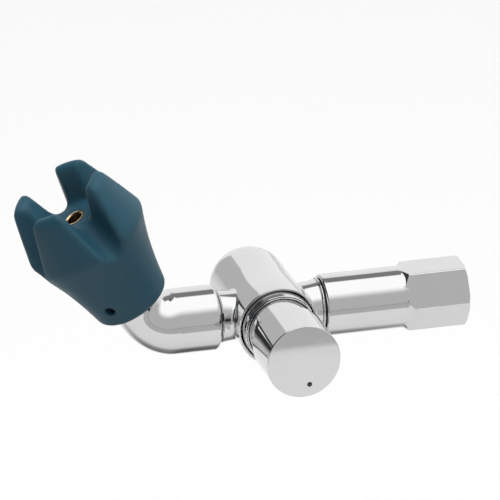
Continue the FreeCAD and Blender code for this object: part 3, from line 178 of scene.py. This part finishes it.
def calc(tree, operation, *values):
    """Math node of up to three values, each an output or a number."""
    node = tree.nodes.new("ShaderNodeMath")
    node.operation = operation
    for socket, value in zip(node.inputs, values):
        set_or_link(tree, socket, value)
    return node.outputs["Value"]


def product(tree, first, *others):
    """All values multiplied."""
    for other in others:
        first = calc(tree, "MULTIPLY", first, other)
    return first


def spread(tree, value, from_range, to_range, kind="LINEAR"):
    """Maps a value from one range to another."""
    node = tree.nodes.new("ShaderNodeMapRange")
    node.interpolation_type = kind
    node.inputs["From Min"].default_value, node.inputs["From Max"].default_value = from_range
    node.inputs["To Min"].default_value, node.inputs["To Max"].default_value = to_range
    tree.links.new(value, node.inputs["Value"])
    return node.outputs["Result"]


def step(tree, value, edge):
    """Smooth step from 0 at the edge's start to 1 at its end, which may lie on either side."""
    start, end = edge
    levels = (0.0, 1.0) if start < end else (1.0, 0.0)
    return spread(tree, value, (min(edge), max(edge)), levels, "SMOOTHSTEP")


def blend_level(tree, share, below, above):
    """Level that goes from below to above as the share goes from 0 to 1."""
    node = tree.nodes.new("ShaderNodeMix")
    node.data_type = "FLOAT"
    set_or_link(tree, node.inputs["A"], below)
    set_or_link(tree, node.inputs["B"], above)
    tree.links.new(share, node.inputs["Factor"])
    return node.outputs["Result"]


def tint(tree, value, dark, light):
    """Mixes two colours by a noise value."""
    node = tree.nodes.new("ShaderNodeMix")
    node.data_type = "RGBA"
    node.inputs["A"].default_value = (*dark, 1)
    node.inputs["B"].default_value = (*light, 1)
    tree.links.new(value, node.inputs["Factor"])
    return node.outputs["Result"]


def split_place(tree, output):
    """The three parts of a place or direction."""
    place = tree.nodes.new("ShaderNodeTexCoord")
    split = tree.nodes.new("ShaderNodeSeparateXYZ")
    tree.links.new(place.outputs[output], split.inputs["Vector"])
    return [split.outputs[axis] for axis in "XYZ"]


def noise(tree, scale, octaves, stretch=(1, 1, 1)):
    """Noise in the part's own coordinates, where scale is cells per metre."""
    place = tree.nodes.new("ShaderNodeTexCoord")
    mapping = tree.nodes.new("ShaderNodeMapping")
    mapping.inputs["Scale"].default_value = stretch
    texture = tree.nodes.new("ShaderNodeTexNoise")
    texture.inputs["Scale"].default_value = scale
    texture.inputs["Detail"].default_value = octaves
    tree.links.new(place.outputs["Object"], mapping.inputs["Vector"])
    tree.links.new(mapping.outputs["Vector"], texture.inputs["Vector"])
    return texture.outputs["Fac"]


def bump(tree, shader, value, strength, height, under=None):
    """Adds relief of a real height in metres, over an earlier one if given."""
    node = tree.nodes.new("ShaderNodeBump")
    node.inputs["Strength"].default_value = strength
    node.inputs["Distance"].default_value = height
    tree.links.new(value, node.inputs["Height"])
    if under is not None:
        tree.links.new(under, node.inputs["Normal"])
    tree.links.new(node.outputs["Normal"], shader.inputs["Normal"])
    return node.outputs["Normal"]


# Materials

def new_material(name):
    """Material with its node tree and its principled shader."""
    material = bpy.data.materials.new(name)
    material.use_nodes = True
    tree = material.node_tree
    tree.nodes.clear()
    output = tree.nodes.new("ShaderNodeOutputMaterial")
    shader = tree.nodes.new("ShaderNodeBsdfPrincipled")
    tree.links.new(shader.outputs["BSDF"], output.inputs["Surface"])
    return material, tree, shader


def metal(name, dark, light, roughness, grain):
    """Bright metal whose colour and gloss vary a little, with a faint ripple and rub marks."""
    material, tree, shader = new_material(name)
    shader.inputs["Metallic"].default_value = 1.0
    clouds = noise(tree, *METAL_CLOUDS)
    rub = noise(tree, *METAL_RUB, stretch=METAL_RUB_STRETCH)
    tree.links.new(tint(tree, clouds, dark, light), shader.inputs["Base Color"])
    tree.links.new(spread(tree, rub, NOISE_RANGE, roughness), shader.inputs["Roughness"])
    ripple = bump(tree, shader, noise(tree, *METAL_RIPPLE), grain, METAL_RIPPLE_HEIGHT)
    bump(tree, shader, rub, grain, METAL_RUB_HEIGHT, under=ripple)
    return material


def moulded(name, dark, light, roughness, skin_scale, skin_height, shine=0.5):
    """Moulded rubber or plastic: mottled colour, uneven sheen and a fine skin."""
    material, tree, shader = new_material(name)
    shader.inputs["Specular IOR Level"].default_value = shine
    clouds = noise(tree, *MOULDED_CLOUDS)
    skin = noise(tree, skin_scale, MOULDED_SKIN_OCTAVES)
    tree.links.new(tint(tree, clouds, dark, light), shader.inputs["Base Color"])
    tree.links.new(spread(tree, clouds, NOISE_RANGE, roughness), shader.inputs["Roughness"])
    bump(tree, shader, skin, MOULDED_SKIN_STRENGTH, skin_height)
    return material


MATERIALS = {
    "chrome": metal(
        "chrome", dark=(0.62, 0.62, 0.625), light=(0.66, 0.66, 0.66),
        roughness=(0.02, 0.06), grain=0.004),
    "brass": metal(
        "brass", dark=(0.66, 0.47, 0.27), light=(0.85, 0.68, 0.45),
        roughness=(0.18, 0.34), grain=0.15),
    "steel": metal(
        "steel", dark=(0.48, 0.48, 0.47), light=(0.62, 0.61, 0.6),
        roughness=(0.2, 0.36), grain=0.15),
    "mouthguard_rubber": moulded(
        "mouthguard_rubber", dark=(0.014, 0.054, 0.079), light=(0.019, 0.066, 0.096),
        roughness=(0.42, 0.54), skin_scale=4200, skin_height=0.00003, shine=0.2),
    "black_rubber": moulded(
        "black_rubber", dark=(0.008, 0.008, 0.009), light=(0.016, 0.016, 0.017),
        roughness=(0.45, 0.62), skin_scale=3500, skin_height=0.00003),
    "white_plastic": moulded(
        "white_plastic", dark=(0.66, 0.66, 0.64), light=(0.76, 0.76, 0.74),
        roughness=(0.35, 0.5), skin_scale=3000, skin_height=0.00002),
    "black_plastic": moulded(
        "black_plastic", dark=(0.012, 0.012, 0.012), light=(0.022, 0.022, 0.022),
        roughness=(0.35, 0.5), skin_scale=3000, skin_height=0.00002),
}


def dress_nodes():
    """Gives every carried node the finish of its material slot."""
    for part in frame["record"]["subparts"]:
        mesh = NODES[part["node"]].data
        mesh.materials.clear()
        mesh.materials.append(MATERIALS[part["material_slot"]])


# Pieces of the scene's own

def new_piece(name, mesh, body, slot):
    """Object of one mesh that rides on a body and wears a slot's finish."""
    piece = bpy.data.objects.new(name, mesh)
    bpy.context.scene.collection.objects.link(piece)
    mesh.materials.clear()
    mesh.materials.append(MATERIALS[slot])
    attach(piece, body)
    return piece


def add_smoothing(piece, passes):
    """Smoothing modifier of a number of passes."""
    modifier = piece.modifiers.new("smooth", "SMOOTH")
    modifier.factor = SMOOTHING_SHARE
    modifier.iterations = passes
    return modifier


def apply_modifiers(piece):
    """Leaves the piece with its modifiers' result as its mesh."""
    graph = bpy.context.evaluated_depsgraph_get()
    result = bpy.data.meshes.new_from_object(piece.evaluated_get(graph))
    old = piece.data
    piece.modifiers.clear()
    piece.data = result
    bpy.data.meshes.remove(old)


def weigh_prongs(piece):
    """Vertex group that grows from the shoulder to the prongs."""
    group = piece.vertex_groups.new(name="prongs")
    for vertex in piece.data.vertices:
        height = (vertex.co - ELBOW_CORNER).dot(HEAD_AXIS)
        share = (height - PRONG_START) / (PRONG_FULL - PRONG_START)
        if share > 0:
            group.add([vertex.index], min(share, 1.0), "REPLACE")
    return group.name


def soft_mouthguard():
    """The moulded rubber with every edge softened, in the place of the plain one."""
    mesh = NODES["mouthguard"].data.copy()
    piece = new_piece("mouthguard_moulding", mesh, "swing_spout", "mouthguard_rubber")
    remesh = piece.modifiers.new("even_skin", "REMESH")
    remesh.mode = "VOXEL"
    remesh.voxel_size = GUARD_VOXEL
    add_smoothing(piece, GUARD_PASSES)
    apply_modifiers(piece)
    prongs = weigh_prongs(piece)
    add_smoothing(piece, PRONG_PASSES).vertex_group = prongs
    fill = piece.modifiers.new("prong_fill", "DISPLACE")
    fill.strength = PRONG_FILL
    fill.mid_level = 0.0
    fill.vertex_group = prongs
    apply_modifiers(piece)
    piece.data.shade_smooth()
    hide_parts("mouthguard")


def turned_piece(name, outline, place, slot):
    """Ring of a closed outline of (radius, height) corners, turned about the place's own Z."""
    corners = len(outline)
    radii, heights = np.array(outline).T * MM
    turn = np.linspace(0, 2 * math.pi, TURNED_SPOKES, endpoint=False)[:, None]
    points = np.stack([radii * np.cos(turn), radii * np.sin(turn), heights + 0 * turn], axis=-1)
    faces = []
    for spoke in range(TURNED_SPOKES):
        here = spoke * corners
        there = (spoke + 1) % TURNED_SPOKES * corners
        for corner in range(corners):
            after = (corner + 1) % corners
            faces.append((here + corner, there + corner, there + after, here + after))
    mesh = bpy.data.meshes.new(name)
    mesh.from_pydata([place @ Vector(point) for point in points.reshape(-1, 3)], [], faces)
    mesh.shade_smooth()
    mesh.set_sharp_from_angle(angle=SHARP_ANGLE)
    return new_piece(name, mesh, "fixed_valve", slot)


def valve_rings():
    """Face seal with the neck's rim beside it, and the bezel with its bead round the button."""
    along_inlet = Matrix.Rotation(math.radians(90), 4, "Y")
    along_button = Matrix.Translation(CROSSING) @ Matrix.Rotation(math.radians(90), 4, "X")
    seal = turned_piece("inlet_face_seal", SEAL_OUTLINE, along_inlet, "black_rubber")
    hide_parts("inlet_seal_ring")
    turned_piece("inlet_neck_rim", NECK_RIM_OUTLINE, along_inlet, "chrome")
    bezel = turned_piece("bezel_ring", BEZEL_OUTLINE, along_button, "chrome")
    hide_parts("bezel_nut")


def pressed_spring():
    """The return spring on its seat in the cartridge housing, as a copy of its own on the fixed valve.
    """
    coil = new_piece("return_coil", NODES["return_spring"].data.copy(), "fixed_valve", "steel")
    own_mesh(coil)
    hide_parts("return_spring")


def thread_grid():
    """Points and triangles of the threaded bore, from the mouth inwards."""
    steps = round(THREAD_LENGTH / THREAD_PITCH * THREAD_STEPS_PER_PITCH)
    depth = np.linspace(0, THREAD_LENGTH, steps + 1)[:, None]
    turn = np.linspace(0, 2 * math.pi, THREAD_SPOKES, endpoint=False)[None, :]
    phase = (depth / THREAD_PITCH + turn / (2 * math.pi)) % 1.0
    from_root = np.abs(phase - 0.5) - THREAD_ROOT
    groove = np.clip(1.0 - from_root / THREAD_FLANK, 0.0, 1.0)
    groove = groove * groove * (3 - 2 * groove)
    ease = np.clip(np.minimum(depth, THREAD_LENGTH - depth) / THREAD_RUN_IN, 0.0, 1.0)
    radius = THREAD_CREST_RADIUS + THREAD_DEPTH * groove * ease
    radius = np.maximum(radius, THREAD_CREST_RADIUS + THREAD_LEAD_IN - depth)
    points = np.stack([-depth + 0 * radius, radius * np.cos(turn), radius * np.sin(turn)], axis=-1)
    ring = np.arange(steps)[:, None] * THREAD_SPOKES
    spoke = np.arange(THREAD_SPOKES)[None, :]
    here = ring + spoke
    beside = ring + (spoke + 1) % THREAD_SPOKES
    quads = np.stack([here, here + THREAD_SPOKES, beside + THREAD_SPOKES, beside], axis=-1)
    quads = quads.reshape(-1, 4)
    triangles = np.concatenate([quads[:, [0, 1, 2]], quads[:, [0, 2, 3]]])
    return points.reshape(-1, 3), triangles


def smooth_normals(points, triangles):
    """Normal of each point, the mean of its triangles' by area."""
    first, second, third = (points[triangles[:, corner]] for corner in range(3))
    across = np.cross(second - first, third - first)
    normals = np.zeros_like(points)
    for corner in range(3):
        np.add.at(normals, triangles[:, corner], across)
    return normals / np.linalg.norm(normals, axis=1, keepdims=True)


def read_mesh(mesh):
    """Points, triangles and corner normals of a mesh of triangles."""
    points = np.empty(len(mesh.vertices) * 3)
    mesh.vertices.foreach_get("co", points)
    corners = np.empty(len(mesh.loops), dtype=int)
    mesh.loops.foreach_get("vertex_index", corners)
    normals = np.empty(len(mesh.loops) * 3)
    mesh.corner_normals.foreach_get("vector", normals)
    return points.reshape(-1, 3), corners.reshape(-1, 3), normals.reshape(-1, 3, 3)


def threaded_inlet():
    """The inlet pipe with its thread cut, in the place of the one with a plain bore."""
    points, triangles, normals = read_mesh(NODES["inlet_pipe"].data)
    widest = THREAD_CREST_RADIUS + THREAD_LEAD_IN + BORE_TOLERANCE
    inner = np.hypot(points[:, 1], points[:, 2]) < widest
    inner &= points[:, 0] > -THREAD_LENGTH - BORE_TOLERANCE
    ahead = points[triangles, 0].max(axis=1) > -THREAD_LENGTH + BORE_END
    bore = inner[triangles].all(axis=1) & ahead
    thread_points, thread_triangles = thread_grid()
    thread_normals = smooth_normals(thread_points, thread_triangles)[thread_triangles]
    all_points = np.concatenate([points, thread_points])
    all_triangles = np.concatenate([triangles[~bore], thread_triangles + len(points)])
    all_normals = np.concatenate([normals[~bore], thread_normals]).reshape(-1, 3)
    mesh = bpy.data.meshes.new("threaded_inlet")
    mesh.from_pydata(all_points.tolist(), [], all_triangles.tolist())
    mesh.shade_smooth()
    mesh.normals_split_custom_set(all_normals.tolist())
    piece = new_piece("threaded_inlet", mesh, "fixed_valve", "chrome")
    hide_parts("inlet_pipe")


# Studio

def paint_floor(tree):
    """Level of the floor's paint, darker in front of its edge, with painted shadow under the part."""
    x, y, _ = split_place(tree, "Object")
    across = calc(tree, "SUBTRACT", x, FLOOR_PAINTED_SHADOW_PLACE[0])
    across = calc(tree, "DIVIDE", across, FLOOR_PAINTED_SHADOW_REACH[0])
    along = calc(tree, "SUBTRACT", y, FLOOR_PAINTED_SHADOW_PLACE[1])
    along = calc(tree, "DIVIDE", along, FLOOR_PAINTED_SHADOW_REACH[1])
    along_squared = calc(tree, "POWER", along, 2.0)
    away = calc(tree, "SQRT", calc(tree, "MULTIPLY_ADD", across, across, along_squared))
    # painted shadow: the paint darkens in a soft oval under the part
    paint = blend_level(tree, step(tree, away, FLOOR_PAINTED_SHADOW_EDGE), FLOOR_PAINT, FLOOR_PAINTED_SHADOW_LEVEL)
    return blend_level(tree, step(tree, y, FLOOR_FRONT_EDGE), paint, FLOOR_FRONT_PAINT)


def make_floor():
    """Pale floor below the part."""
    half = FLOOR_SIDE / 2
    mesh = bpy.data.meshes.new("floor")
    corners = [(x * half, y * half, FLOOR_HEIGHT) for x, y in ((-1, -1), (1, -1), (1, 1), (-1, 1))]
    mesh.from_pydata(corners, [], [(0, 1, 2, 3)])
    floor = bpy.data.objects.new("floor", mesh)
    bpy.context.scene.collection.objects.link(floor)
    material, tree, shader = new_material("floor_paint")
    tree.links.new(paint_floor(tree), shader.inputs["Base Color"])
    shader.inputs["Roughness"].default_value = FLOOR_ROUGHNESS
    mesh.materials.append(material)
    return floor


def make_world():
    """Grey room in front, pale backdrop behind under a dark strip, dark on the left, white above."""
    world = bpy.data.worlds.new("studio")
    bpy.context.scene.world = world
    world.use_nodes = True
    tree = world.node_tree
    x, y, z = split_place(tree, "Generated")
    height = calc(tree, "DEGREES", calc(tree, "ARCSINE", z))
    turn = calc(tree, "DEGREES", calc(tree, "ARCTAN2", x, y))
    behind = product(tree, step(tree, turn, BACKDROP_LEFT_EDGE), step(tree, turn, BACKDROP_RIGHT_EDGE))
    wall = blend_level(tree, behind, ROOM_LEVEL, BACKDROP_LEVEL)
    level = blend_level(tree, step(tree, height, CEILING_EDGE), wall, CEILING_LEVEL)
    strip = product(
        tree,
        step(tree, turn, STRIP_LEFT_EDGE),
        step(tree, turn, STRIP_RIGHT_EDGE),
        step(tree, height, STRIP_LOWER_EDGE),
        step(tree, height, STRIP_UPPER_EDGE))
    level = blend_level(tree, strip, level, STRIP_LEVEL)
    corner = product(
        tree,
        step(tree, turn, DARK_CORNER_EDGE),
        step(tree, height, DARK_CORNER_LOWER_EDGE))
    dark = product(
        tree,
        calc(tree, "MAXIMUM", corner, step(tree, turn, DARK_RIGHT_EDGE)),
        step(tree, turn, DARK_LEFT_EDGE),
        step(tree, height, DARK_UPPER_EDGE))
    level = blend_level(tree, dark, level, DARK_LEVEL)
    background = tree.nodes["Background"]
    tree.links.new(level, background.inputs["Strength"])
    background.inputs["Color"].default_value = (1, 1, 1, 1)


def add_light(name, kind, strength):
    """Light with its data."""
    data = bpy.data.lights.new(name, kind)
    data.energy = strength
    light = bpy.data.objects.new(name, data)
    bpy.context.scene.collection.objects.link(light)
    return light, data


def overhead_light():
    """Broad soft light from above, where the chrome reflects the surround's ceiling instead."""
    light, data = add_light("overhead", "AREA", OVERHEAD_POWER)
    data.shape = "RECTANGLE"
    data.size, data.size_y = OVERHEAD_SIZE
    light.location = OVERHEAD_PLACE
    light.visible_glossy = False


def key_light(floor):
    """Distant light for the floor alone, where it sets the part's shadow below the picture."""
    light, data = add_light("key", "SUN", KEY_STRENGTH)
    data.angle = KEY_WIDTH
    light.rotation_euler.x = math.radians(90) - KEY_HEIGHT
    lit = bpy.data.collections.new("lit_by_the_key")
    lit.objects.link(floor)
    light.light_linking.receiver_collection = lit


def make_camera():
    """Long lens at the photograph's angle, with the same point in the frame's middle."""
    across = (PHOTO_SIDE / 2 - CROSSING_PIXEL[0]) * METRES_PER_PIXEL
    upward = (CROSSING_PIXEL[1] - PHOTO_SIDE / 2) * METRES_PER_PIXEL
    target = CROSSING + VIEW_RIGHT * across + VIEW_UP * upward
    data = bpy.data.cameras.new("camera")
    data.sensor_width = SENSOR_WIDTH
    data.lens = SENSOR_WIDTH * CAMERA_DISTANCE / (PHOTO_SIDE * METRES_PER_PIXEL)
    data.clip_end = CAMERA_REACH
    camera = bpy.data.objects.new("camera", data)
    bpy.context.scene.collection.objects.link(camera)
    axes = Matrix((VIEW_RIGHT, VIEW_UP, VIEW_BACK)).transposed().to_4x4()
    camera.matrix_world = Matrix.Translation(target + VIEW_BACK * CAMERA_DISTANCE) @ axes
    bpy.context.scene.camera = camera


# Dressing the part and setting up the studio


dress_nodes()
soft_mouthguard()
valve_rings()
pressed_spring()
threaded_inlet()
floor = make_floor()
make_world()
overhead_light()
key_light(floor)
make_camera()
bpy.context.scene.view_settings.view_transform = "Standard"
